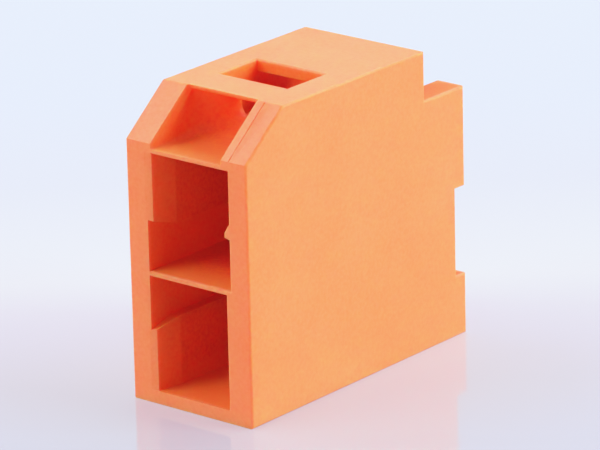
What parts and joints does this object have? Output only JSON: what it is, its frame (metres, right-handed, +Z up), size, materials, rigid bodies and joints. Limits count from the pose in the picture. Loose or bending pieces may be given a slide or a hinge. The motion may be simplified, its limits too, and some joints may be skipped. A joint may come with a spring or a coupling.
{
  "type": "pluggable terminal block housing",
  "caption": "Empty one-pole housing of a pluggable terminal block: stacked front chambers, wire funnel in a chamfer, tool slot on top, notched rear cheeks.",
  "frame": {"origin": "centre of the base, on the surface that the housing stands on", "axes": "+Z up, +Y from the front with its openings to the rear with its mating socket, +X to the right of someone who looks at the front"},
  "size_m": [0.0152, 0.034, 0.0314],
  "materials": {
    "orange_moulding": "satin moulded thermoplastic, slightly translucent, finely textured"
  },
  "bodies": {
    "root": {"housing": "orange_moulding"}
  },
  "joints": []
}
